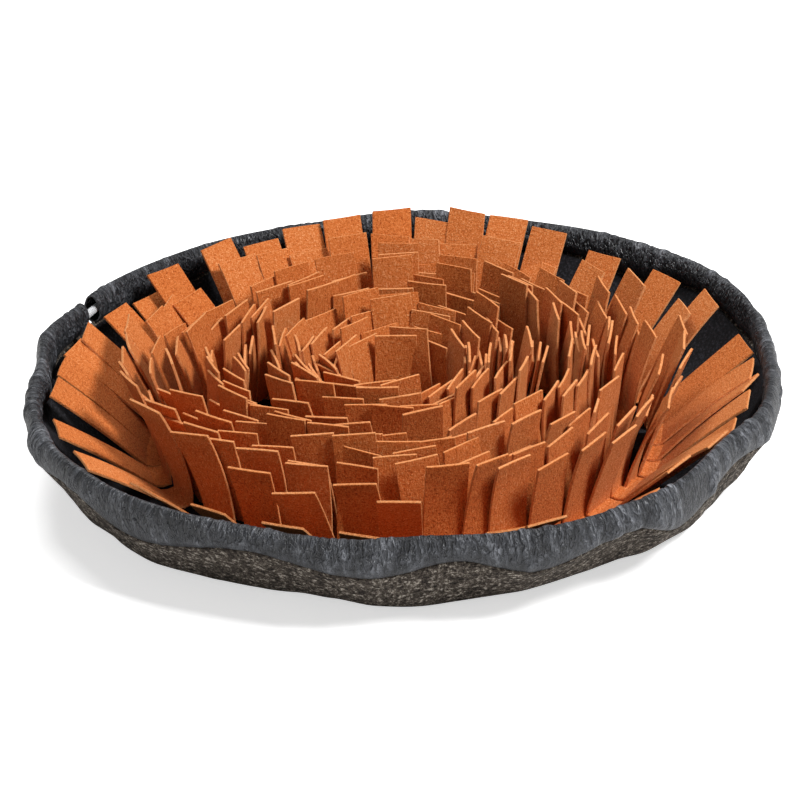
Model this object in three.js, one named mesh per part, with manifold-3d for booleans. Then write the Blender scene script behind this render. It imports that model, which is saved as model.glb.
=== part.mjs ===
// Snuffle bowl: a shallow cloth dish with a gathered drawstring rim, in which rings of felt strips stand.
// Millimetres, +Z up. The origin is the centre of the flat underside.
import * as THREE from "three";
import { mergeVertices } from "three/addons/utils/BufferGeometryUtils.js";
import Module from "manifold-3d";

const wasm = await Module();
wasm.setup();

// Driving dimensions.
const RIM_RADIUS = 220; // to the middle of the rim casing
const RIM_HEIGHT = 60; // the casing's crest above the underside
const CASING_WIDTH = 10;
const CASING_HEIGHT = 21;
const CASING_WALL = 1;
const CORD_DIAMETER = 5;
const FLOOR_RADIUS = 178; // where the flat floor turns up into the wall
const SHELL_THICKNESS = 2.5;
const LINING_THICKNESS = 1.2;
const STRIP_WIDTH = 25;
const STRIP_THICKNESS = 2;
const FOOT_LENGTH = 8; // a strip lies flat this far from its stitching before it turns up
const ROOT_INSET = 2.5; // from the edge of the sewn feet in to a leaf's root
const STRIPS_IN_ARC = 3; // a circle is made in arcs of this many strips
const CLEARANCE = 0.3; // between pieces that touch
const DRAPE_CLEARANCE = 5.5; // from the middle of a leaf's tip to the casing: its corners clear it by 2
const FOOT_STEP = 22.5; // degrees between the points of a foot's curved edges
const SEGMENTS = 64; // steps round the dish
const CASING_SIDES = 8;
const CHANNEL_SIDES = 6; // the hollow that the cord runs in
const CORD_SIDES = 8;

const SEAM_HEIGHT = RIM_HEIGHT - CASING_HEIGHT;
const LINING_TOP = SHELL_THICKNESS + CLEARANCE + LINING_THICKNESS;

// The wall's outer outline, from the edge of the floor up to the seam under the casing.
const WALL = [
  { radius: FLOOR_RADIUS, height: 0 },
  { radius: 190, height: 3.5 },
  { radius: 201, height: 13 },
  { radius: 210, height: 25 },
  { radius: RIM_RADIUS + 1.5, height: SEAM_HEIGHT - CLEARANCE },
];

// How far the rim stands out of a true circle, by angle. -90 degrees is the front.
const RIM_BENDS = [
  { degrees: 0, out: -2 },
  { degrees: 8, out: -1 },
  { degrees: 15, out: 3 },
  { degrees: 30, out: 4 },
  { degrees: 50, out: 0 },
  { degrees: 68, out: -3 },
  { degrees: 88, out: 3 },
  { degrees: 105, out: -3 },
  { degrees: 125, out: 0 },
  { degrees: 145, out: 2 },
  { degrees: 152, out: 0 },
  { degrees: 161, out: 4 },
  { degrees: 176, out: -4 },
  { degrees: 190, out: 0 },
  { degrees: 200, out: 2 },
  { degrees: 215, out: 0 },
  { degrees: 245, out: -4 },
  { degrees: 260, out: 0 },
  { degrees: 272, out: -3 },
  { degrees: 290, out: 5 },
  { degrees: 306, out: 5 },
  { degrees: 328, out: -5 },
  { degrees: 340, out: 1 },
  { degrees: 352, out: -1 },
];

// The scallops of the seam under the casing, where the gathering lifts it or lets it drop.
const SEAM_SCALLOPS = [
  { degrees: 4, up: 3 },
  { degrees: 17, up: -3 },
  { degrees: 33, up: 4 },
  { degrees: 47, up: -3 },
  { degrees: 62, up: 3 },
  { degrees: 75, up: -4 },
  { degrees: 90, up: 3 },
  { degrees: 104, up: -3 },
  { degrees: 119, up: 4 },
  { degrees: 134, up: -3 },
  { degrees: 151, up: 3 },
  { degrees: 168, up: -4 },
  { degrees: 186, up: 3 },
  { degrees: 196, up: -2 },
  { degrees: 209, up: 5 },
  { degrees: 226, up: -5 },
  { degrees: 246, up: 6 },
  { degrees: 265, up: -3 },
  { degrees: 277, up: 5 },
  { degrees: 288, up: -5 },
  { degrees: 303, up: 5 },
  { degrees: 313, up: -8 },
  { degrees: 332, up: 2 },
  { degrees: 345, up: -3 },
];

// The soft lumps and hollows of the wall near the floor.
const WALL_LUMPS = [
  { degrees: 15, out: 3 },
  { degrees: 45, out: -3 },
  { degrees: 70, out: 2 },
  { degrees: 100, out: -4 },
  { degrees: 130, out: 3 },
  { degrees: 165, out: -3 },
  { degrees: 209, out: 7 },
  { degrees: 222, out: 4 },
  { degrees: 236, out: -2 },
  { degrees: 252, out: -6 },
  { degrees: 269, out: 5 },
  { degrees: 283, out: 1 },
  { degrees: 298, out: -1 },
  { degrees: 332, out: 6 },
];

// Where the casing is open for the cord, and where it is folded over in a tight pinch.
const CORD_GAP = { degrees: 151, width: 13 };
const PINCH = { degrees: 16, halfWidth: 5, narrowed: 0.16, lowered: 2 };

// The circles of stitching, how many strips are sewn round each, with 5 mm or more between leaves, and where
// the tips of their inner and outer leaves stand above the lining.
const FELT_CIRCLES = [
  { stitch: 42, strips: 6, innerTip: 29, innerHeight: 59, outerTip: 53, outerHeight: 61 },
  { stitch: 66, strips: 12, innerTip: 73, innerHeight: 62, outerTip: 90, outerHeight: 60 },
  { stitch: 109, strips: 21, innerTip: 110, innerHeight: 60, outerTip: 129, outerHeight: 61 },
  { stitch: 129, strips: 24, innerTip: 147, innerHeight: 61, outerTip: 166, outerHeight: 60 },
  { stitch: 150, strips: 30, innerTip: 185, innerHeight: 58, outerTip: 206, outerHeight: 48 },
];
const CIRCLE_STAGGER = 0.37; // of a strip's spacing, from one circle to the next, so that leaves don't line up

// How far leaves lean to and fro, stand high and low and turn aside, and how fast that changes round a circle.
const TIP_SWAY = { most: 1.5, pace: 2.4 };
const TIP_RISE = { most: 2, pace: 3.7 };
const TURN_ASIDE = { most: 6, pace: 1.7 };

const FELT = new THREE.MeshStandardMaterial({ color: 0xc4683a, roughness: 0.95, metalness: 0 });
const NYLON = new THREE.MeshStandardMaterial({ color: 0x4a4f57, roughness: 0.55, metalness: 0 });
const MARLED_CLOTH = new THREE.MeshStandardMaterial({ color: 0x5b544e, roughness: 0.95, metalness: 0 });
const DARK_CLOTH = new THREE.MeshStandardMaterial({ color: 0x1e1d20, roughness: 0.9, metalness: 0 });
const CORD = new THREE.MeshStandardMaterial({ color: 0xbfc1c4, roughness: 0.7, metalness: 0 });

const radians = THREE.MathUtils.degToRad;

function wrapped(degrees) {
  return THREE.MathUtils.euclideanModulo(degrees, 360);
}

// A table's column at an angle, eased from row to row right round the circle.
function around(rows, column, degrees) {
  const angle = wrapped(degrees);
  const before = rows.findLastIndex((row) => row.degrees <= angle);
  const low = rows.at(before);
  const high = rows[(before + 1) % rows.length];
  const span = wrapped(high.degrees - low.degrees);
  const share = THREE.MathUtils.smoothstep(wrapped(angle - low.degrees) / span, 0, 1);
  return THREE.MathUtils.lerp(low[column], high[column], share);
}

// 1 at an angle, easing to 0 at halfWidth degrees from it.
function nearness(degrees, middle, halfWidth) {
  const away = Math.abs(wrapped(degrees - middle + 180) - 180);
  return 1 - THREE.MathUtils.smoothstep(away / halfWidth, 0, 1);
}

// An outline moved sideways by distance, to the left of its direction, with its corners mitred.
function offset(outline, distance) {
  return outline.map((point, i) => {
    const before = outline[Math.max(i - 1, 0)];
    const after = outline[Math.min(i + 1, outline.length - 1)];
    const into = point.clone().sub(before).normalize();
    const out = after.clone().sub(point).normalize();
    if (i === 0) into.copy(out);
    if (i === outline.length - 1) out.copy(into);
    const along = into.clone().add(out).normalize();
    const reach = distance / along.dot(out);
    return new THREE.Vector2(point.x - along.y * reach, point.y + along.x * reach);
  });
}

// A profile of radius and height turned about +Z, with place(point, degrees, index) moving each point of it.
function turned(profile, segments, place) {
  const geometry = new THREE.LatheGeometry(profile, segments).rotateX(Math.PI / 2);
  const position = geometry.attributes.position;
  for (let i = 0; i < position.count; i += 1) {
    const step = Math.floor(i / profile.length) % segments;
    const angle = (step / segments) * Math.PI * 2 - Math.PI / 2;
    const index = i % profile.length;
    const point = place(profile[index], THREE.MathUtils.radToDeg(angle), index);
    position.setXYZ(i, point.x * Math.cos(angle), point.x * Math.sin(angle), point.y);
  }
  return geometry;
}

// A section of the rim, standing at its radius and centred on the casing's middle height.
function rimSection(halfWidth, halfHeight, sides) {
  return new THREE.EllipseCurve(RIM_RADIUS, 0, halfWidth, halfHeight).getPoints(sides);
}

function solid(geometry) {
  const bare = new THREE.BufferGeometry();
  bare.setAttribute("position", geometry.attributes.position);
  bare.setIndex(geometry.index);
  const merged = mergeVertices(bare, 1e-4);
  const count = merged.attributes.position.count;
  const triVerts = merged.index
    ? new Uint32Array(merged.index.array)
    : Uint32Array.from({ length: count }, (_, i) => i);
  return new wasm.Manifold(
    new wasm.Mesh({ numProp: 3, vertProperties: merged.attributes.position.array, triVerts }),
  );
}

function named(name, body, material) {
  const made = body.getMesh();
  const geometry = new THREE.BufferGeometry();
  geometry.setAttribute("position", new THREE.BufferAttribute(made.vertProperties, made.numProp));
  geometry.setIndex(new THREE.BufferAttribute(made.triVerts, 1));
  geometry.computeVertexNormals();
  const mesh = new THREE.Mesh(geometry, material);
  mesh.name = name;
  return mesh;
}

// The casing follows the rim, its lower edge follows the seam, and it is squeezed at the pinch.
function placeInCasing(point, degrees) {
  const drop = 0.5 - point.y / CASING_HEIGHT;
  const pinch = nearness(degrees, PINCH.degrees, PINCH.halfWidth);
  const width = 1 - PINCH.narrowed * pinch;
  const bend = around(RIM_BENDS, "out", degrees);
  const scallop = around(SEAM_SCALLOPS, "up", degrees) * drop;
  const lowered = PINCH.lowered * pinch * (1 - drop);
  const radius = RIM_RADIUS + (point.x - RIM_RADIUS) * width + bend;
  return new THREE.Vector2(radius, point.y + scallop - lowered);
}

// The dish's outline moved in by distance, with its upper edge cut level under the casing.
function dishSurface(outline, distance) {
  const line = offset(outline, distance);
  const [below, top] = line.slice(-2);
  const level = (outline.at(-1).y - below.y) / (top.y - below.y);
  top.lerpVectors(below, top.clone(), level);
  return line;
}

// One sheet of the dish, floor and wall in one, between two distances in from its outer outline. The wall
// swells in lumps near the floor, leans out with the rim and follows the scallops of the seam at its top.
// The surface at "to" runs backwards, so two sheets that meet there have their facets split alike.
function dishSheet(from, to) {
  const outline = [new THREE.Vector2(0, 0)];
  WALL.forEach((row) => outline.push(new THREE.Vector2(row.radius, row.height)));
  const profile = [...dishSurface(outline, from), ...dishSurface(outline, to).reverse()];
  const place = (point, degrees, index) => {
    const station = outline[Math.min(index, profile.length - 1 - index)];
    const rise = station.y / outline.at(-1).y;
    const atWall = station.x > 0 ? 1 - rise : 0;
    const lump = around(WALL_LUMPS, "out", degrees) * atWall;
    const bend = around(RIM_BENDS, "out", degrees) * rise * rise;
    const scallop = around(SEAM_SCALLOPS, "up", degrees) * rise;
    return new THREE.Vector2(point.x + lump + bend, point.y + scallop);
  };
  const geometry = turned(profile, SEGMENTS, place);
  if (from > to) geometry.index.array.reverse(); // turns the faces of a sheet made from its inside out
  return solid(geometry);
}

function rimCasing() {
  const halfWidth = CASING_WIDTH / 2;
  const halfHeight = CASING_HEIGHT / 2;
  const section = rimSection(halfWidth, halfHeight, CASING_SIDES);
  const channel = rimSection(halfWidth - CASING_WALL, halfHeight - CASING_WALL, CHANNEL_SIDES);
  const tube = solid(turned(section, SEGMENTS, placeInCasing));
  const hollow = solid(turned(channel, SEGMENTS, placeInCasing));
  const opening = new THREE.BoxGeometry(CASING_WIDTH * 4, CORD_GAP.width, CASING_HEIGHT * 2);
  opening.translate(RIM_RADIUS, 0, 0).rotateZ(radians(CORD_GAP.degrees));
  return tube.subtract(hollow).subtract(solid(opening));
}

// The cord lies against the inner side of its channel, and in the middle of it where the casing is pinched.
function drawstring() {
  const slack = CASING_WIDTH / 2 - CASING_WALL - CORD_DIAMETER / 2 - CLEARANCE * 2;
  const section = rimSection(CORD_DIAMETER / 2, CORD_DIAMETER / 2, CORD_SIDES);
  const place = (point, degrees) => {
    const centred = nearness(degrees, PINCH.degrees, PINCH.halfWidth * 2);
    const bend = around(RIM_BENDS, "out", degrees);
    const scallop = around(SEAM_SCALLOPS, "up", degrees) / 2;
    return new THREE.Vector2(point.x + bend - slack * (1 - centred), point.y + scallop);
  };
  return solid(turned(section, SEGMENTS, place));
}

// One leaf of a strip, from its root in the edge of the sewn feet straight up to its tip.
function leaf(root, tip, aside, degrees) {
  const reach = tip.clone().sub(root);
  const strip = new THREE.BoxGeometry(STRIP_THICKNESS, STRIP_WIDTH, reach.length());
  strip.translate(0, 0, reach.length() / 2).rotateY(Math.atan2(reach.x, reach.y)).rotateZ(radians(aside));
  strip.translate(root.x, 0, root.y).rotateZ(radians(degrees));
  return solid(strip);
}

// Strips sewn side by side round part of a circle, as one comb: their feet lie flat and join edge to edge,
// and each strip turns up at both ends of its foot as a leaf.
function feltArc(circle, index, firstStrip) {
  const pitch = 360 / circle.strips;
  const inside = circle.stitch - FOOT_LENGTH;
  const outside = circle.stitch + FOOT_LENGTH;
  const turn = index * CIRCLE_STAGGER;
  const gap = CLEARANCE / 2 / inside;
  const start = radians((firstStrip + turn - 0.5) * pitch) + gap;
  const end = radians((firstStrip + STRIPS_IN_ARC + turn - 0.5) * pitch) - gap;
  const feet = new THREE.Shape();
  feet.absarc(0, 0, outside, start, end, false);
  feet.absarc(0, 0, inside, end, start, true);
  const curveSegments = Math.max(STRIPS_IN_ARC, Math.ceil((end - start) / radians(FOOT_STEP)));
  const thick = { depth: STRIP_THICKNESS, bevelEnabled: false, curveSegments };
  let comb = solid(new THREE.ExtrudeGeometry(feet, thick));
  const rows = [
    { root: inside + ROOT_INSET, tip: circle.innerTip, height: circle.innerHeight },
    { root: outside - ROOT_INSET, tip: circle.outerTip, height: circle.outerHeight },
  ];
  for (let i = firstStrip; i < firstStrip + STRIPS_IN_ARC; i += 1) {
    const degrees = (i + turn) * pitch;
    const uneven = ({ most, pace }) => Math.sin(i * pace + index) * most;
    const casing = RIM_RADIUS - CASING_WIDTH / 2 + around(RIM_BENDS, "out", degrees);
    for (const row of rows) {
      const reach = Math.min(row.tip + uneven(TIP_SWAY), casing - DRAPE_CLEARANCE);
      const root = new THREE.Vector2(row.root, STRIP_THICKNESS / 2);
      const tip = new THREE.Vector2(reach, row.height + uneven(TIP_RISE));
      comb = comb.add(leaf(root, tip, uneven(TURN_ASIDE), degrees));
    }
  }
  return comb;
}

const bowl = new THREE.Group();

const dish = new THREE.Group();
dish.add(named("shell_cloth", dishSheet(0, SHELL_THICKNESS), MARLED_CLOTH));
dish.add(named("lining_cloth", dishSheet(LINING_TOP, SHELL_THICKNESS + CLEARANCE), DARK_CLOTH));

const rim = new THREE.Group();
rim.position.z = RIM_HEIGHT - CASING_HEIGHT / 2;
rim.add(named("rim_casing", rimCasing(), NYLON));
rim.add(named("drawstring", drawstring(), CORD));

const felt = new THREE.Group();
felt.position.z = LINING_TOP + CLEARANCE;
FELT_CIRCLES.forEach((circle, index) => {
  for (let strip = 0; strip < circle.strips; strip += STRIPS_IN_ARC) {
    const name = `felt_circle_${index + 1}_arc_${strip / STRIPS_IN_ARC + 1}`;
    felt.add(named(name, feltArc(circle, index, strip), FELT));
  }
});

bowl.add(dish, rim, felt);

export default bowl;
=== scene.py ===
# A snuffle bowl: a shallow cloth dish with a gathered drawstring rim, in which circles of felt strips stand.
# Metres, +Z up. The origin is the centre of the flat underside, and the front is at -90 degrees.
import math
import random

import bmesh
import bpy
from mathutils import Matrix, Vector, noise


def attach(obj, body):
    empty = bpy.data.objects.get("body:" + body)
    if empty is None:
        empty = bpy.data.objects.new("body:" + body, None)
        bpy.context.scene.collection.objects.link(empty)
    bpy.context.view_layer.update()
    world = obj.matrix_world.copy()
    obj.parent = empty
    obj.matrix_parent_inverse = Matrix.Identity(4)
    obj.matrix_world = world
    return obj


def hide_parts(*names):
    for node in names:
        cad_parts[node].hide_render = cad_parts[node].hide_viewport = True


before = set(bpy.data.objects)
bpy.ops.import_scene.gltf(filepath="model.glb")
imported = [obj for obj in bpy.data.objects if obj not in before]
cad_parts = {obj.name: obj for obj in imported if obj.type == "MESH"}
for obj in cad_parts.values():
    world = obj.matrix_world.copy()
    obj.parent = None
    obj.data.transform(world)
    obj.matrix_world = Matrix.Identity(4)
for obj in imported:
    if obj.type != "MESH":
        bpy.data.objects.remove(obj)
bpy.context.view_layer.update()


# ---------------------------------------------------------------------------------------------------
# The camera looks down into the bowl from the front, two and a half metres away, through a long lens.
# It is turned a little about its own line of sight, so the bowl stands slightly tilted in the view.
MM = 0.001
CAMERA_ELEVATION = 26.45
CAMERA_TURN = -2.3
CAMERA_DISTANCE = 2475
CAMERA_RIGHT = -1.07
CAMERA_UP = -21.6
CAMERA_LENS = 187.8
LOOKED_AT_HEIGHT = 60

camera = bpy.data.objects.new("camera", bpy.data.cameras.new("camera"))
bpy.context.collection.objects.link(camera)
camera.data.lens = CAMERA_LENS
looked_at = Matrix.Translation((0, 0, LOOKED_AT_HEIGHT * MM))
tilt = Matrix.Rotation(math.radians(90 - CAMERA_ELEVATION), 4, "X")
turn = Matrix.Rotation(math.radians(CAMERA_TURN), 4, "Z")
away = Matrix.Translation((CAMERA_RIGHT * MM, CAMERA_UP * MM, CAMERA_DISTANCE * MM))
camera.matrix_world = looked_at @ tilt @ turn @ away
bpy.context.scene.camera = camera


# ---------------------------------------------------------------------------------------------------
# The dish is one round of thick marled cloth, felted from grey and brown yarns. The drawstring casing
# gathers its edge, so its flat floor turns up into a short, lumpy wall with a scalloped seam.
RIM_RADIUS = 220
RIM_HEIGHT = 60
CASING_HEIGHT = 21
CASING_WIDTH = 10
SEAM_GAP = 0.3
DISH_TOP = RIM_HEIGHT - CASING_HEIGHT - SEAM_GAP
SHELL_THICKNESS = 2.5
DISH_STEPS = 240

# Radius and height of the outer surface.
DISH_OUTLINE = (
    (0, 0), (70, 0), (120, 0), (150, 0), (168, 0), (178, 0.3), (184, 1.4), (190, 3.5), (196, 7.6),
    (201, 12.8), (206, 18.9), (210, 24.6), (214, 29.4), (218, 34.2), (221.5, DISH_TOP),
)

# Degrees round the bowl, and how far the rim stands out of a true circle there.
RIM_BENDS = (
    (0, -2), (8, -1), (15, 3), (30, 4), (50, 0), (68, -3), (88, 3), (105, -3), (125, 0), (145, 2), (152, 0),
    (161, 4), (176, -4), (190, 0), (200, 2), (215, 0), (245, -4), (260, 0), (272, -3), (290, 5), (306, 5),
    (328, -5), (340, 1), (352, -1),
)

# Degrees, and how far the gathering lifts the seam under the casing.
SEAM_SCALLOPS = (
    (4, 3), (17, -3), (33, 4), (47, -3), (62, 3), (75, -4), (90, 3), (104, -3), (119, 4), (134, -3),
    (151, 3), (168, -4), (186, 3), (196, -2), (209, 5), (226, -5), (246, 6), (265, -3), (277, 5), (288, -5),
    (303, 5), (313, -8), (332, 2), (345, -3),
)

# Degrees, and how far the wall swells out near the floor.
WALL_LUMPS = (
    (15, 3), (45, -3), (70, 2), (100, -4), (130, 3), (165, -3), (209, 7), (222, 4), (236, -2), (252, -6),
    (269, 5), (283, 1), (298, -1), (332, 6),
)

# Radii between which the lumps come in, and those between which the ripples and puckers do. "apart" is about
# how many millimetres lie between two folds, and "deep" is how far they stand out. FOLD_RUN is about how far
# a fold runs up the cloth before it changes.
LUMPS_BEGIN = (120, 178)
RIPPLES_BEGIN = (165, 190)
WALL_RIPPLES = {"apart": 26, "deep": 3.0}
SEAM_PUCKERS = {"apart": 9, "deep": 1.2}
FOLD_RUN = 30


def eased(share):
    share = min(max(share, 0), 1)
    return share * share * (3 - 2 * share)


def begun(value, low, high):
    """How far a value has come from one to another, eased."""
    return eased((value - low) / (high - low))


def round_bowl(table, degrees):
    """A table's second column at an angle, eased from row to row right round the bowl."""
    degrees %= 360
    passed = sum(row[0] <= degrees for row in table)
    low = table[passed - 1]
    high = table[passed % len(table)]
    share = eased(((degrees - low[0]) % 360) / ((high[0] - low[0]) % 360))
    return low[1] + (high[1] - low[1]) * share


def spun(outline, steps, cuts, begin=0, sweep=360):
    """A bmesh of an outline of radius and height, in millimetres, turned about +Z in steps, each of which is
    cut again."""
    mesh = bmesh.new()
    corners = [mesh.verts.new((radius * MM, 0, height * MM)) for radius, height in outline]
    edges = [mesh.edges.new(pair) for pair in zip(corners, corners[1:])]
    bmesh.ops.rotate(mesh, verts=corners, matrix=Matrix.Rotation(math.radians(begin), 3, "Z"))
    bmesh.ops.spin(
        mesh, geom=corners + edges, axis=(0, 0, 1), cent=(0, 0, 0), angle=math.radians(sweep), steps=steps,
        use_merge=sweep == 360,
    )
    same = MM / 100
    bmesh.ops.remove_doubles(mesh, verts=mesh.verts, dist=same)
    rings = []
    for edge in mesh.edges:
        one, other = (vert.co for vert in edge.verts)
        if abs(one.z - other.z) < same and abs(one.xy.length - other.xy.length) < same:
            rings.append(edge)
    bmesh.ops.subdivide_edges(mesh, edges=rings, cuts=cuts, use_grid_fill=True)
    bmesh.ops.recalc_face_normals(mesh, faces=mesh.faces)
    for face in mesh.faces:
        face.smooth = True
    return mesh


def roundabout(vert):
    """A point's angle in degrees, and its radius and height in millimetres."""
    return math.degrees(math.atan2(vert.co.y, vert.co.x)), vert.co.xy.length / MM, vert.co.z / MM


def stand_at(vert, degrees, radius, height):
    angle = math.radians(degrees)
    vert.co = Vector((radius * math.cos(angle), radius * math.sin(angle), height)) * MM


def ripple(degrees, height, apart, seed):
    """Uneven folds about so many millimetres apart round the rim, that change slowly with height."""
    angle = math.radians(degrees)
    across = RIM_RADIUS / apart
    up = height / FOLD_RUN + seed
    return noise.noise(Vector((math.cos(angle) * across, math.sin(angle) * across, up)))


def shape_dish(mesh):
    """Leans a spun dish out with the rim, swells its wall in lumps and puckers it under the seam."""
    for vert in mesh.verts:
        degrees, radius, height = roundabout(vert)
        up = height / DISH_TOP
        lean = eased(up) * 0.3 + up * 0.7
        radius += round_bowl(WALL_LUMPS, degrees) * ((1 - up) * begun(radius, *LUMPS_BEGIN))
        radius += round_bowl(RIM_BENDS, degrees) * up ** 2
        wall = begun(radius, *RIPPLES_BEGIN)
        ripples = ripple(degrees, height, WALL_RIPPLES["apart"], seed=4) * WALL_RIPPLES["deep"]
        radius += ripples * wall * (1 - lean)
        puckers = ripple(degrees, height, SEAM_PUCKERS["apart"], seed=9) * SEAM_PUCKERS["deep"]
        radius += puckers * wall * up
        height += round_bowl(SEAM_SCALLOPS, degrees) * up
        stand_at(vert, degrees, radius, height)


def show_face(mesh, upwards):
    """Turns a dish's faces so that the cloth's outer side looks up, or down."""
    middle = min(mesh.faces, key=lambda face: face.calc_center_median().xy.length)
    if (middle.normal.z > 0) != upwards:
        bmesh.ops.reverse_faces(mesh, faces=mesh.faces)


def piece(name, mesh, material, *modifiers):
    """An object of a finished bmesh, with its modifiers, riding on the bowl."""
    data = bpy.data.meshes.new(name)
    mesh.to_mesh(data)
    mesh.free()
    data.materials.append(material)
    made = bpy.data.objects.new(name, data)
    bpy.context.collection.objects.link(made)
    for kind, settings in modifiers:
        modifier = made.modifiers.new(kind.lower(), kind)
        for setting, value in settings.items():
            setattr(modifier, setting, value)
    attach(made, "root")
    return made


def add_node(tree, kind, links=None, **settings):
    """A node with its settings, and its inputs given as values or as the sockets that feed them."""
    node = tree.nodes.new(kind)
    for setting, value in settings.items():
        setattr(node, setting, value)
    for name, value in (links or {}).items():
        socket = node.inputs[name]
        if isinstance(value, bpy.types.NodeSocket):
            tree.links.new(value, socket)
        else:
            socket.default_value = value
    return node


def reckoned(tree, operation, one, other):
    return add_node(tree, "ShaderNodeMath", {0: one, 1: other}, operation=operation).outputs[0]


def spread(tree, mask, low, high):
    """A mask with the part between two values stretched out from 0 to 1."""
    node = add_node(tree, "ShaderNodeMapRange", {"Value": mask, "From Min": low, "From Max": high})
    return node.outputs["Result"]


def mixed(tree, share, one, other):
    """Two masks in one, with this share of the second."""
    return add_node(tree, "ShaderNodeMix", {"Factor": share, "A": one, "B": other}).outputs[0]


def cloth_material(name, roughness, **constants):
    """A material, its nodes and its shader."""
    material = bpy.data.materials.new(name)
    material.use_nodes = True
    tree = material.node_tree
    shader = tree.nodes["Principled BSDF"]
    shader.inputs["Roughness"].default_value = roughness
    for socket, value in constants.items():
        shader.inputs[socket.replace("_", " ")].default_value = value
    return material, tree, shader


def place_on(tree):
    """The socket that gives each point's place on the object."""
    return tree.nodes.new("ShaderNodeTexCoord").outputs["Object"]


def colour(code):
    """Linear red, green, blue and alpha of a colour written as in a paint list."""
    parts = [(code >> shift & 255) / 255 for shift in (16, 8, 0)]
    return [part / 12.92 if part <= 0.04045 else ((part + 0.055) / 1.055) ** 2.4 for part in parts] + [1]


def dye(tree, shader, mask, *stops):
    """Colours the cloth by position along a mask."""
    node = add_node(tree, "ShaderNodeValToRGB", {"Fac": mask})
    while len(node.color_ramp.elements) < len(stops):
        node.color_ramp.elements.new(0.5)
    for element, (position, code) in zip(node.color_ramp.elements, stops):
        element.position = position
        element.color = colour(code)
    tree.links.new(node.outputs["Color"], shader.inputs["Base Color"])


def add_bump(tree, shader, height, strength, distance, under=None):
    """Bump from a height, over an earlier bump if one is given."""
    node = add_node(
        tree, "ShaderNodeBump", {"Height": height, "Strength": strength, "Distance": distance * MM}
    )
    if under:
        tree.links.new(under.outputs["Normal"], node.inputs["Normal"])
    tree.links.new(node.outputs["Normal"], shader.inputs["Normal"])
    return node


# Pressed and felted fibres: short flecks that lie three ways, each a noise turned and then drawn out.
FIBRE_WAYS = (
    ((0.5, 0.2, 0.4), (1.0, 0.28, 0.8)),
    ((1.2, 0.9, 2.1), (0.3, 1.0, 0.9)),
    ((2.2, 0.4, 1.1), (0.8, 0.9, 0.25)),
)
fibres = bpy.data.node_groups.new("felted fibres", "ShaderNodeTree")
fibres.interface.new_socket("Place", in_out="INPUT", socket_type="NodeSocketVector")
fibre_length = fibres.interface.new_socket("Length", in_out="INPUT", socket_type="NodeSocketFloat")
fibre_length.default_value = 2.0
fibres.interface.new_socket("Fleck", in_out="OUTPUT", socket_type="NodeSocketFloat")
fibres.interface.new_socket("Height", in_out="OUTPUT", socket_type="NodeSocketFloat")
given = fibres.nodes.new("NodeGroupInput")
result = fibres.nodes.new("NodeGroupOutput")
grain = reckoned(fibres, "DIVIDE", 1 / MM, given.outputs["Length"])
scaled = add_node(
    fibres, "ShaderNodeVectorMath", {0: given.outputs["Place"], "Scale": grain}, operation="SCALE"
)
layers = []
for turned, drawn in FIBRE_WAYS:
    laid = add_node(
        fibres, "ShaderNodeMapping", {"Vector": scaled.outputs[0], "Rotation": turned, "Scale": drawn}
    )
    layer = add_node(
        fibres, "ShaderNodeTexNoise", {"Vector": laid.outputs[0], "Scale": 1.0, "Roughness": 0.6}
    )
    layers.append(layer.outputs["Fac"])
heap = reckoned(fibres, "ADD", reckoned(fibres, "ADD", layers[0], layers[1]), layers[2])
heap = reckoned(fibres, "DIVIDE", heap, len(layers))
fibres.links.new(spread(fibres, heap, 0.38, 0.62), result.inputs["Fleck"])
fibres.links.new(heap, result.inputs["Height"])


def add_fibres(tree, place, length):
    """Fibres of a length in millimetres."""
    return add_node(tree, "ShaderNodeGroup", {"Place": place, "Length": length}, node_tree=fibres)


marled, tree, shader = cloth_material("marled cloth", 0.95, Specular_IOR_Level=0.15)
place = place_on(tree)
yarns = add_fibres(tree, place, 2.1)
fuzz = add_fibres(tree, place, 0.8)
broad = add_node(tree, "ShaderNodeTexNoise", {"Vector": place, "Scale": 45.0})
flecked = mixed(tree, 0.45, yarns.outputs["Fleck"], fuzz.outputs["Fleck"])
shaded = mixed(tree, 0.2, flecked, broad.outputs["Fac"])
dye(tree, shader, shaded, (0.22, 0x110F0D), (0.42, 0x38322D), (0.6, 0x5B534B), (0.78, 0xB0A79B))
yarn_bump = add_bump(tree, shader, yarns.outputs["Height"], 0.7, 1.2)
add_bump(tree, shader, fuzz.outputs["Height"], 0.5, 0.5, under=yarn_bump)

mesh = spun(DISH_OUTLINE, DISH_STEPS, cuts=2)
shape_dish(mesh)
show_face(mesh, upwards=False)
shell = piece(
    "shell_cloth_sewn", mesh, marled,
    ("SOLIDIFY", {"thickness": SHELL_THICKNESS * MM, "offset": -1}),
)
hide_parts("shell_cloth")


# ---------------------------------------------------------------------------------------------------
# The lining is a thin cloth laid in the dish, coloured near-black: darker than the slate casing cloth, so
# part of its darkness is painted shade. It shows between the outermost leaves and up the inside of the wall,
# and its edge is caught in the same seam as the dish.
LINING_THICKNESS = 1.2
CLOTH_GAP = 0.3
LINING_TOP = SHELL_THICKNESS + CLOTH_GAP + LINING_THICKNESS

LINING_OUTLINE = (
    (0, LINING_TOP), (70, LINING_TOP), (120, LINING_TOP), (150, LINING_TOP), (168, LINING_TOP),
    (177, 4.2), (182.5, 5.2), (188.2, 7.2), (193.2, 10.7), (198, 15.6), (202.7, 21.2), (206.8, 26.8),
    (210.6, 31.4), (214.4, 36), (216.5, DISH_TOP),
)

dark, tree, shader = cloth_material("dark lining", 0.9, Specular_IOR_Level=0.2)
weave = add_fibres(tree, place_on(tree), 1.1)
# Near-black tones, partly the cloth's own dark colour and partly painted shade.
dye(tree, shader, weave.outputs["Fleck"], (0.2, 0x151416), (0.6, 0x201F22), (0.95, 0x35343A))
add_bump(tree, shader, weave.outputs["Height"], 0.5, 0.5)

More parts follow.
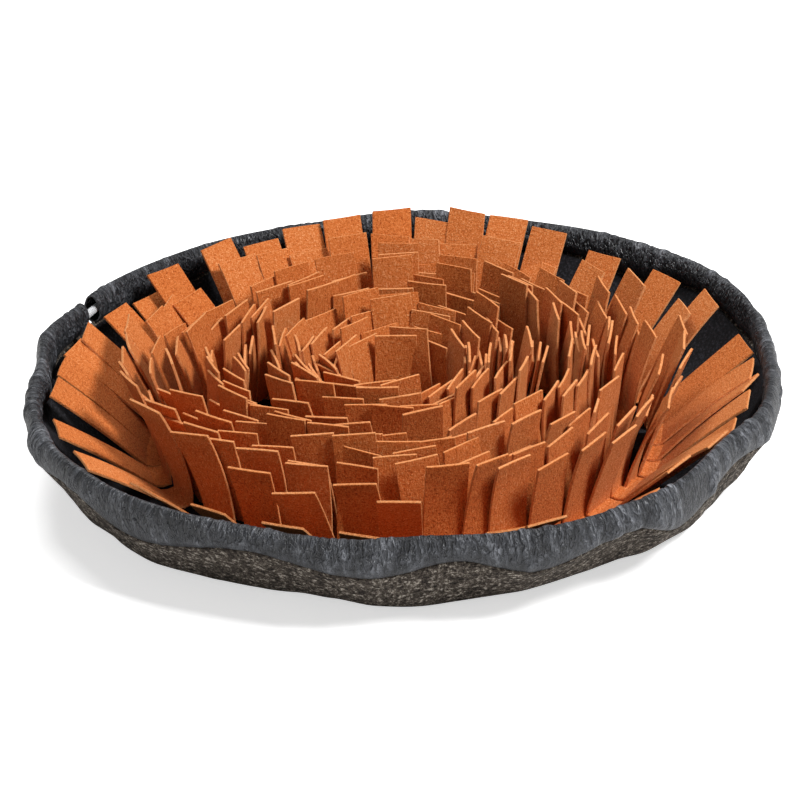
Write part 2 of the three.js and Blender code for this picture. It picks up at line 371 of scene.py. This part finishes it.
mesh = spun(LINING_OUTLINE, DISH_STEPS, cuts=1)
shape_dish(mesh)
show_face(mesh, upwards=True)
lining = piece(
    "lining_cloth_sewn", mesh, dark,
    ("SOLIDIFY", {"thickness": LINING_THICKNESS * MM, "offset": -1}),
)
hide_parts("lining_cloth")


# ---------------------------------------------------------------------------------------------------
# The casing is a folded strip of slate-grey nylon, sewn along the dish's edge as a tunnel and gathered on
# the drawstring: fine creases run over its crest, and larger puckers stand in its lower, outer side.
CASING_WALL = 1
CASING_SIDES = 28
CASING_STEPS = 300
CASING_CUTS = 4
CASING_MIDDLE = RIM_HEIGHT - CASING_HEIGHT / 2
GAP_DEGREES = 151
GAP_WIDTH = 13
PINCH_DEGREES = 16
PINCH_HALF_WIDTH = 5
PINCH_DEPTH = 2
PINCH_THINNED = 0.16

# The hem is this share of the casing's height, at its foot, where the seam holds it nearly smooth.
HEM = 0.2

# How the nylon lies: about how many millimetres its folds are apart, and how deep they are. A fold's usual
# height is taken off, so that the cloth stands out and sinks in by turns. It sinks in only by the last
# number's share, because the cord inside holds it.
GATHERS = {"apart": 6.0, "deep": 1.9}
PUCKERS = {"apart": 15, "deep": 3.6}
FOLDS = {"apart": 42, "deep": 2.4}
USUAL_FOLD = 0.3
PRESSED_ON_CORD = 0.12

# How far apart the creases drawn on the nylon are, and how long they are. They are drawn in its bump, and in
# its colour as painted light and shade.
CREASES_APART = 1.9
CREASE_LENGTH = 4.6

# Degrees, and how tightly the cord has gathered the casing there.
GATHERED = (
    (0, 1.2), (30, 0.9), (60, 0.7), (130, 0.8), (170, 1.4), (205, 1.2), (235, 0.8), (262, 0.8), (275, 1.2),
    (320, 1.3),
)


def painted(tree, name):
    """A value that the piece carries at each of its points."""
    node = add_node(tree, "ShaderNodeAttribute", attribute_name=name, attribute_type="GEOMETRY")
    return node.outputs["Fac"]


def oval(width, height, sides, begin=0):
    """The outline of an oval round the middle of the casing, as corners of radius and height."""
    corners = []
    for side in range(sides + 1):
        angle = math.tau * side / sides + begin
        out = width / 2 * math.cos(angle)
        up = height / 2 * math.sin(angle)
        corners.append((RIM_RADIUS + out, CASING_MIDDLE + up))
    return corners


def turn_between(one, other):
    """Degrees from one angle to another, the shorter way round."""
    return (other - one + 180) % 360 - 180


def pinched(degrees, half_width):
    """How much of the pinch in the rim there is at an angle."""
    return eased(1 - abs(turn_between(PINCH_DEGREES, degrees)) / half_width)


def beside(angle, middle):
    """An angle, turned right round where that brings it nearer to the middle of its face."""
    return angle + math.tau * round((middle - angle) / math.tau)


nylon, tree, shader = cloth_material("gathered nylon", 0.45, Specular_IOR_Level=0.55)
threads = add_fibres(tree, place_on(tree), 0.8)
fold_lines = add_node(tree, "ShaderNodeUVMap", uv_map="round_rim")
crease_scale = (1 / MM / CREASES_APART, 1 / MM / CREASE_LENGTH, 1)
long_creases = add_node(
    tree, "ShaderNodeMapping", {"Vector": fold_lines.outputs["UV"], "Scale": crease_scale}
)
wrinkles = add_node(
    tree, "ShaderNodeTexNoise", {"Vector": long_creases.outputs[0], "Scale": 1.0, "Distortion": 0.9}
)
sharp = spread(tree, wrinkles.outputs["Fac"], 0.34, 0.66)
fine = mixed(tree, painted(tree, "pleated"), 0.5, sharp)
# The nylon's colour mixes painted light and shade of its folds with the real flecks of its fibres, and then
# with the creases.
fold_shading_and_fleck = mixed(tree, 0.3, painted(tree, "painted_fold_shading"), threads.outputs["Fleck"])
lit = mixed(tree, 0.36, fold_shading_and_fleck, fine)
dye(tree, shader, lit, (0.12, 0x101113), (0.4, 0x2F3034), (0.62, 0x484A4F), (0.86, 0x787A80))
fine_bump = add_bump(tree, shader, fine, 1.0, 2.2)
add_bump(tree, shader, threads.outputs["Height"], 0.35, 0.3, under=fine_bump)

gap_sweep = math.degrees(GAP_WIDTH / RIM_RADIUS)
mesh = spun(
    oval(CASING_WIDTH, CASING_HEIGHT, CASING_SIDES, begin=-math.pi / 2), CASING_STEPS, CASING_CUTS,
    begin=GAP_DEGREES + gap_sweep / 2, sweep=360 - gap_sweep,
)
fold_shading_layer = mesh.verts.layers.float.new("painted_fold_shading")
pleated = mesh.verts.layers.float.new("pleated")
lines = mesh.loops.layers.uv.new("round_rim")
for vert in mesh.verts:
    degrees, radius, height = roundabout(vert)
    outward = (radius - RIM_RADIUS) / (CASING_WIDTH / 2)
    upward = (height - CASING_MIDDLE) / (CASING_HEIGHT / 2)
    drop = 0.5 - upward / 2
    hem = eased((drop - (1 - HEM)) / HEM)
    over_crest = begun(upward, -0.9, 0)
    low_side = eased(1 - upward) * eased(outward * 2 + 0.6)
    # All folds slant on their way down. The gathers are deepest over the crest, the puckers low outside.
    gathered = abs(ripple(degrees + upward * 0.6, height * 0.5, GATHERS["apart"], 21)) ** 0.8 - USUAL_FOLD
    puckered = abs(ripple(degrees - upward * 0.8, height * 0.8, PUCKERS["apart"], 33)) ** 0.8 - USUAL_FOLD
    folded = ripple(degrees - upward * 1.4, height * 0.5, FOLDS["apart"], 47)
    swell = gathered * GATHERS["deep"] * (0.35 + 0.65 * over_crest)
    swell += puckered * PUCKERS["deep"] * (0.45 + 0.55 * low_side) + folded * FOLDS["deep"]
    swell *= round_bowl(GATHERED, degrees) * (1 - hem * 0.7) * (1 if swell > 0 else PRESSED_ON_CORD)
    pinch = pinched(degrees, PINCH_HALF_WIDTH)
    radius = RIM_RADIUS + (radius - RIM_RADIUS) * (1 - PINCH_THINNED * pinch)
    radius += round_bowl(RIM_BENDS, degrees) + outward * swell
    height += round_bowl(SEAM_SCALLOPS, degrees) * drop + upward * swell * 0.8
    height -= PINCH_DEPTH * pinch * (1 - drop)
    stand_at(vert, degrees, radius, height)
    # Painted light and shade: the nylon is coloured lighter on the tops of its folds and over the crest, as
    # painted highlight, and darker in the hollows between folds and low at the hem seam, as painted shade.
    fold_highlight_and_shade = 0.42 + gathered * 0.9 + puckered * 0.8 + over_crest * 0.08
    vert[fold_shading_layer] = min(max(fold_highlight_and_shade * (1 - hem * 0.8), 0), 1)
    vert[pleated] = 0.25 + 0.75 * over_crest
for face in mesh.faces:
    centre = face.calc_center_median()
    middle = math.atan2(centre.y, centre.x)
    for loop in face.loops:
        angle = beside(math.atan2(loop.vert.co.y, loop.vert.co.x), middle)
        loop[lines].uv = (angle * RIM_RADIUS * MM, loop.vert.co.z)
casing = piece(
    "rim_casing_gathered", mesh, nylon, ("SOLIDIFY", {"thickness": CASING_WALL * MM, "offset": -1})
)
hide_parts("rim_casing")


# ---------------------------------------------------------------------------------------------------
# The drawstring is a light grey braided cord, drawn right round inside the casing and tied in a loop.
# It shows only where the casing is left open, at the back left.
CORD_DIAMETER = 5
CORD_SIDES = 12
CORD_STEPS = 240
CORD_CLEARANCE = 0.6
CORD_SLACK = CASING_WIDTH / 2 - CASING_WALL - CORD_DIAMETER / 2 - CORD_CLEARANCE
BRAID_SLANT = 40

braided, tree, shader = cloth_material("braided cord", 0.75, Sheen_Weight=0.3, Specular_IOR_Level=0.3)
lay = add_node(tree, "ShaderNodeUVMap", uv_map="along_cord")
strands = []
for slant in (BRAID_SLANT, -BRAID_SLANT):
    leaning = add_node(
        tree, "ShaderNodeMapping", {"Vector": lay.outputs["UV"], "Rotation": (0, 0, math.radians(slant))}
    )
    strand = add_node(tree, "ShaderNodeTexWave", {"Vector": leaning.outputs[0], "Scale": 230.0})
    strands.append(strand.outputs["Fac"])
plait = reckoned(tree, "MAXIMUM", strands[0], strands[1])
dye(tree, shader, plait, (0.2, 0x8D8F93), (0.6, 0xC4C6C9), (0.9, 0xDCDDE0))
add_bump(tree, shader, plait, 0.6, 0.6)

mesh = spun(oval(CORD_DIAMETER, CORD_DIAMETER, CORD_SIDES), CORD_STEPS, cuts=2)
along = mesh.loops.layers.uv.new("along_cord")
for face in mesh.faces:
    middle = face.calc_center_median()
    middle_side = math.atan2(middle.z / MM - CASING_MIDDLE, middle.xy.length / MM - RIM_RADIUS)
    for loop in face.loops:
        degrees, radius, height = roundabout(loop.vert)
        angle = beside(math.radians(degrees), math.atan2(middle.y, middle.x))
        side = beside(math.atan2(height - CASING_MIDDLE, radius - RIM_RADIUS), middle_side)
        loop[along].uv = (angle * RIM_RADIUS * MM, side * CORD_DIAMETER / 2 * MM)
for vert in mesh.verts:
    degrees, radius, height = roundabout(vert)
    pinch = pinched(degrees, PINCH_HALF_WIDTH * 2)
    radius += round_bowl(RIM_BENDS, degrees) - CORD_SLACK * (1 - pinch)
    height += round_bowl(SEAM_SCALLOPS, degrees) / 2
    stand_at(vert, degrees, radius, height)
cord = piece("drawstring_cord", mesh, braided)
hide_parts("drawstring")


# ---------------------------------------------------------------------------------------------------
# The felt strips are burnt-orange pressed felt, cut straight with crisp edges. Each is sewn to the floor
# across its middle, beside its neighbours in one of five circles, and stands up as two leaves, which crowd,
# lean and turn as they are pressed against each other.
STRIP_WIDTH = 25
STRIP_THICKNESS = 1.6
CUT_EDGE = 0.25
FOOT_LENGTH = 8
LEAF_LENGTH = 60
FELT_FLOOR = LINING_TOP + CLOTH_GAP

# The feet of neighbouring strips lie in layers. A leaf's root stands a little inside its end of the foot.
LAYERS = 4
STACKED = 1.7
FOOT_HEIGHT = 1
FOOT_RISE = 1.2
ROOT_INSET = 2.5

# What keeps the leaves apart when they settle: the room between them, how often they are pushed, how much a
# push at a leaf's edge turns it, and the most that it may turn.
LEAF_GAP = 2.0
ROUNDS = 70
TURNING = 1.2
STEEPEST_TURN = 0.5

# The three ways that leaves stand: in the inner circles, in the outermost circle's inner row, which leans
# back, and in its outer row, which lies over the casing. "uneven" is how much longer or shorter they are
# cut, and "propped" is how much of PROPPED they rise.
STANDING = {
    "cut": LEAF_LENGTH, "propped": 0, "calm": 1, "turning": 1, "uneven": (-12, 3), "bow": (0.0, 0.05),
}
LEANING_BACK = {**STANDING, "cut": 64, "propped": 0.5}
LYING = {"cut": 67, "propped": 1, "calm": 0.6, "turning": 0.3, "uneven": (-6, 3), "bow": (-0.01, 0.03)}
INNERMOST_SHORTER = 3

# How leaves lean sideways, and how their tips wander in and out: together with their neighbours over about
# so many millimetres, and by themselves. The wandering is in shares of UNEVEN, by circle.
LEANS = {"apart": 60, "deep": 9, "alone": 3}
WANDERS = {"apart": 45, "deep": 2, "alone": 1}
UNEVEN = (2.2, 3.4, 4.6, 5.2, 4.6)
STRAYED = 1.5
STRAYED_OUTERMOST = 1.9

# The radius of each circle's stitching, its strips, and by degrees how far from the centre the tips of its
# inner and outer leaves stand.
FELT_CIRCLES = (
    (42, 20, (
        (0, 39, 51), (45, 41, 54), (90, 33, 56), (135, 44, 56), (180, 46, 54), (225, 41, 52), (270, 35, 47),
        (315, 35, 49),
    )),
    (66, 28, (
        (0, 66, 84), (45, 70, 82), (90, 72, 84), (135, 68, 86), (180, 61, 76), (225, 62, 82), (270, 60, 82),
        (315, 62, 76),
    )),
    (109, 34, (
        (0, 102, 114), (45, 110, 118), (90, 106, 124), (135, 100, 112), (180, 94, 110), (225, 104, 112),
        (270, 101, 111), (315, 102, 118),
    )),
    (129, 38, (
        (0, 128, 152), (45, 142, 154), (90, 137, 156), (135, 126, 146), (180, 140, 155), (225, 130, 148),
        (270, 121, 132), (315, 130, 146),
    )),
    (150, 38, (
        (0, 172, 211), (30, 182, 205), (60, 185, 200), (90, 183, 202), (120, 184, 202), (150, 176, 207),
        (180, 167, 210), (210, 164, 208), (228, 166, 204), (245, 174, 200), (262, 171, 199), (280, 163, 199),
        (300, 165, 202), (325, 166, 212), (345, 168, 212),
    )),
)

# Degrees, and how much higher the outermost tips stand there, propped on the casing, or how much lower they
# lie at the front, tucked behind it.
PROPPED = (
    (0, 4), (45, 2), (62, 6), (78, 12), (102, 12), (115, 7), (135, 2), (150, 0), (180, 4), (205, 4),
    (235, -4), (262, -9), (295, -9), (328, 7),
)

# Degrees, and how closely the strips crowd together, in the inner four circles and in the outermost.
CROWDED = (
    (0, 1.6), (30, 0.8), (60, 1.3), (76, 0.55), (90, 1.1), (104, 0.55), (120, 1.3), (145, 0.8), (180, 2.0),
    (212, 0.8), (240, 1.1), (270, 0.8), (300, 1.1), (330, 0.8),
)
CROWDED_OUTERMOST = (
    (0, 0.65), (45, 1.2), (90, 1.0), (130, 1.25), (165, 0.65), (205, 0.6), (235, 1.1), (270, 1.1),
    (310, 1.2), (345, 0.65),
)

# Degrees, and how far leaves there are turned anti-clockwise from facing straight out.
TURNED = (
    (0, -5), (30, -14), (60, -20), (80, -6), (95, 5), (120, 7), (150, 4), (180, 5), (205, 12), (228, 22),
    (247, 10), (262, -8), (272, 4), (284, 18), (306, 14), (330, 4), (345, -2),
)


def felt_material(name, *tones):
    """Pressed felt, in tones from its deepest pores to its lightest fibres."""
    material, tree, shader = cloth_material(
        name, 1.0, Specular_IOR_Level=0.05, Sheen_Weight=0.12, Sheen_Roughness=0.5,
        Sheen_Tint=(1.0, 0.78, 0.4, 1),
    )
    place = place_on(tree)
    pile = add_fibres(tree, place, 0.9)
    nap = add_fibres(tree, place, 0.5)
    grainy = mixed(tree, 0.55, pile.outputs["Fleck"], nap.outputs["Fleck"])
    toned = mixed(tree, 0.14, grainy, painted(tree, "strip_tint"))
    dye(tree, shader, toned, *zip((0.12, 0.42, 0.64, 0.92), tones))
    pile_bump = add_bump(tree, shader, pile.outputs["Height"], 0.8, 1.0)
    add_bump(tree, shader, nap.outputs["Height"], 1.0, 0.6, under=pile_bump)
    return material


felt = felt_material("burnt-orange felt", 0x883A14, 0xBF6630, 0xCC7841, 0xE7A572)
# The rims of the strips take a lighter felt: a painted highlight on the cut edges, where the light catches
# them.
felt_edge_painted_light = felt_material("felt edge painted lighter", 0xB86B3E, 0xCF8552, 0xD9935F, 0xE5A577)


def spread_round(count, crowding, start):
    """The angles of so many strips round a circle, closer together where they crowd."""
    shares = [round_bowl(crowding, degrees) for degrees in range(360)]
    per_strip = sum(shares) / count
    passed = 0
    angles = []
    for degrees, share in enumerate(shares):
        while passed <= per_strip * len(angles) < passed + share and len(angles) < count:
            angles.append(start + degrees + (per_strip * len(angles) - passed) / share)
        passed += share
    return angles


def cloth_at(end, across):
    """How far from the centre one end of a leaf lies, at a place across it."""
    return end["radius"] + end["slope"] * across + across * across / (2 * end["first"])


def held(slope):
    return min(max(slope, -STEEPEST_TURN), STEEPEST_TURN)


def settle(leaves, level, gap):
    """Pushes leaves that would run through each other in or out, and turns them, at their roots or tips. An
    outer row's leaf stays outside an inner row's, and in a row each overlaps the next in its order."""
    pairs = []
    for i, one in enumerate(leaves):
        for other in leaves[i + 1:]:
            if other["row"] - one["row"] > 1:
                break
            here = one[level]
            there = other[level]
            apart = math.radians(turn_between(here["degrees"], there["degrees"]))
            apart *= (here["radius"] + there["radius"]) / 2
            if abs(apart) >= STRIP_WIDTH:
                continue
            if one["row"] != other["row"]:
                over = -1
            else:
                over = one["order"] if apart > 0 else -other["order"]
            pairs.append((here, there, apart, over))
    half = STRIP_WIDTH / 2
    turning = TURNING / half ** 2
    for _ in range(ROUNDS):
        for here, there, apart, over in pairs:
            for mine in (max(apart, 0) - half, min(apart, 0) + half):
                yours = mine - apart
                short = gap - over * (cloth_at(here, mine) - cloth_at(there, yours))
                if short > 0:
                    push = over * short / (2 + turning * (mine * mine + yours * yours))
                    here["radius"] += push
                    there["radius"] -= push
                    here["slope"] = held(here["slope"] + push * turning * mine)
                    there["slope"] = held(there["slope"] - push * turning * yours)


def make_leaves(number, stitch, count, tips, chance):
    """The leaves of one circle before they settle, first its inner row and then its outer one."""
    outermost = number == len(FELT_CIRCLES)
    angles = spread_round(count, CROWDED_OUTERMOST if outermost else CROWDED, number * 7)
    strayed = STRAYED_OUTERMOST if outermost else STRAYED
    angles = [degrees + chance.uniform(-strayed, strayed) for degrees in angles]
    uneven_tips = UNEVEN[number - 1]
    rows = []
    for side in (-1, 1):
        # The ripples are read at another height for each row, so that each leans in its own way.
        row_height = side * 20
        way = STANDING
        if outermost:
            way = LYING if side > 0 else LEANING_BACK
        tip_at = [(degrees, outer if side > 0 else inner) for degrees, inner, outer in tips]
        row = []
        for i, degrees in enumerate(angles):
            turned = -math.tan(math.radians(round_bowl(TURNED, degrees)))
            leaning = ripple(degrees, row_height, LEANS["apart"], number) * LEANS["deep"]
            leaning += chance.uniform(-LEANS["alone"], LEANS["alone"])
            leaning *= way["calm"]
            wandering = ripple(degrees, row_height, WANDERS["apart"], number + 50) * WANDERS["deep"]
            wandering += chance.uniform(-WANDERS["alone"], WANDERS["alone"])
            tip_radius = round_bowl(tip_at, degrees) + wandering * uneven_tips * way["calm"]
            root = {
                "degrees": degrees,
                "radius": stitch + side * (FOOT_LENGTH - ROOT_INSET),
                "slope": 0,
                "first": stitch,
            }
            tip = {
                "degrees": degrees + math.degrees(leaning / tip_radius),
                "radius": tip_radius,
                "slope": turned * way["turning"] + chance.uniform(-1, 1) * uneven_tips / STRIP_WIDTH,
                "first": tip_radius,
            }
            row.append({
                "way": way,
                "row": number * 2 + (side > 0),
                "order": math.copysign(1, turned),
                "root": root,
                "tip": tip,
                "leaning": leaning,
                "uneven": chance.uniform(*way["uneven"]) - INNERMOST_SHORTER * (number == 1),
                "bow": chance.uniform(*way["bow"]),
                "cup": chance.uniform(-0.6, 0.6),
                "curl": chance.uniform(-0.08, 0.08),
                "layer": i % LAYERS,
            })
        rows.append(row)
    return rows


def facing(degrees):
    """The ways straight out from the centre and anti-clockwise round it."""
    angle = math.radians(degrees)
    outward = Vector((math.cos(angle), math.sin(angle), 0))
    return outward, Vector((-outward.y, outward.x, 0))


def leaf_spot(leaf, across, rise):
    """Where a point of a leaf lies, by its place across the strip and its share of the way to the tip."""
    root = leaf["root"]
    tip = leaf["tip"]
    cut = leaf["way"]["cut"]
    length = cut + leaf["uneven"]
    out_by = (tip["radius"] - root["radius"]) * min(length / cut, 1)
    up_by = math.sqrt(length ** 2 - out_by ** 2)
    propped = round_bowl(PROPPED, tip["degrees"]) * leaf["way"]["propped"]
    up_by += propped if leaf["way"] is LYING else max(propped, 0)
    belly = leaf["bow"] * 4 * rise * (1 - rise)
    out = root["radius"] + out_by * rise - up_by * belly
    start = FELT_FLOOR + leaf["layer"] * STACKED + (FOOT_HEIGHT + FOOT_RISE)
    height = start + up_by * rise + out_by * belly
    slope = root["slope"] + (tip["slope"] - root["slope"]) * rise + leaf["curl"] * rise * rise
    outward, around = facing(root["degrees"])
    width_way = (around + outward * slope).normalized()
    width_way.z = -leaf["leaning"] / LEAF_LENGTH * min(rise * 2, 1)
    cupped = leaf["cup"] * (2 * across / STRIP_WIDTH) ** 2 * rise
    spot = outward * (out + cupped) + around * leaf["leaning"] * rise + width_way.normalized() * across
    return spot + Vector((0, 0, height))


def foot_spot(leaf, stitch, across, share):
    """Where a point of a strip's foot lies, between its stitching and the root of a leaf."""
    root = leaf["root"]
    out = stitch + (root["radius"] - stitch) * share
    outward, around = facing(root["degrees"])
    width_way = (around + outward * root["slope"] * share).normalized()
    height = FELT_FLOOR + leaf["layer"] * STACKED + FOOT_HEIGHT + share * share * FOOT_RISE
    return outward * out + width_way * across + Vector((0, 0, height))


circles = []
for number, (stitch, count, tips) in enumerate(FELT_CIRCLES, start=1):
    circles.append((number, stitch, make_leaves(number, stitch, count, tips, random.Random(number * 31))))
standing = [leaf for _, _, rows in circles for row in rows for leaf in row]
settle(standing, "root", STACKED)
settle(standing, "tip", LEAF_GAP)

foot_share = FOOT_LENGTH / (FOOT_LENGTH + LEAF_LENGTH)
for number, stitch, (inner_row, outer_row) in circles:
    mesh = bmesh.new()
    tint = mesh.verts.layers.float.new("strip_tint")
    chance = random.Random(number)
    for inner, outer in zip(inner_row, outer_row):
        shade = chance.random()
        for vert in bmesh.ops.create_grid(mesh, x_segments=3, y_segments=20, size=0.5)["verts"]:
            across = vert.co.x * STRIP_WIDTH
            along = abs(vert.co.y) * 2
            leaf = outer if vert.co.y > 0 else inner
            if along < foot_share:
                spot = foot_spot(leaf, stitch, across, along / foot_share)
            else:
                spot = leaf_spot(leaf, across, (along - foot_share) / (1 - foot_share))
            vert.co = spot * MM
            vert[tint] = shade
    mesh.normal_update()
    made = piece(
        f"felt_strips_{number}", mesh, felt,
        ("SOLIDIFY", {"thickness": STRIP_THICKNESS * MM, "offset": 0, "material_offset_rim": 1}),
        ("BEVEL", {
            "width": CUT_EDGE * MM, "segments": 1, "limit_method": "ANGLE", "angle_limit": math.radians(60),
        }),
    )
    made.data.materials.append(felt_edge_painted_light)
    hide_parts(*[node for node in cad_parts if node.startswith(f"felt_circle_{number}_")])


# ---------------------------------------------------------------------------------------------------
# The floor is a plain white studio sweep, and the bowl is lit by large soft lamps: one high at the right
# front, a weaker one at the left, and one above the back of the rim.
FLOOR_HALF = 6
FLOOR_WHITE = (0.9, 0.9, 0.9, 1)
FLOOR_GLOW = 0.6
ROOM_LIGHT = 0.13

# Each lamp's place, size and watts.
LAMPS = (
    ("key", (1.4, -0.8, 1.9), 0.6, 65),
    ("fill", (-0.8, -1.9, 1.1), 1.6, 5),
    ("back", (-0.4, 1.0, 2.0), 1.0, 34),
)

floor_mesh = bmesh.new()
bmesh.ops.create_grid(floor_mesh, x_segments=1, y_segments=1, size=FLOOR_HALF)
floor_data = bpy.data.meshes.new("floor")
floor_mesh.to_mesh(floor_data)
floor_mesh.free()
floor = bpy.data.objects.new("floor", floor_data)
bpy.context.collection.objects.link(floor)
white, tree, shader = cloth_material(
    "white sweep", 0.9, Specular_IOR_Level=0.0, Base_Color=FLOOR_WHITE, Emission_Color=(1, 1, 1, 1)
)
sight = tree.nodes.new("ShaderNodeLightPath")
glow = reckoned(tree, "MULTIPLY", sight.outputs["Is Camera Ray"], FLOOR_GLOW)
tree.links.new(glow, shader.inputs["Emission Strength"])
floor_data.materials.append(white)

for name, where, size, power in LAMPS:
    lamp = bpy.data.objects.new(name, bpy.data.lights.new(name, "AREA"))
    lamp.data.size = size
    lamp.data.energy = power
    lamp.location = where
    lamp.rotation_euler = (-Vector(where)).to_track_quat("-Z", "Y").to_euler()
    bpy.context.collection.objects.link(lamp)

world = bpy.data.worlds.new("studio")
bpy.context.scene.world = world
world.use_nodes = True
tree = world.node_tree
background = tree.nodes["Background"]
background.inputs["Color"].default_value = (1, 1, 1, 1)
sight = tree.nodes.new("ShaderNodeLightPath")
seen = add_node(
    tree, "ShaderNodeMapRange", {"Value": sight.outputs["Is Camera Ray"], "To Min": ROOM_LIGHT}
)
tree.links.new(seen.outputs["Result"], background.inputs["Strength"])

bpy.context.scene.view_settings.view_transform = "Standard"
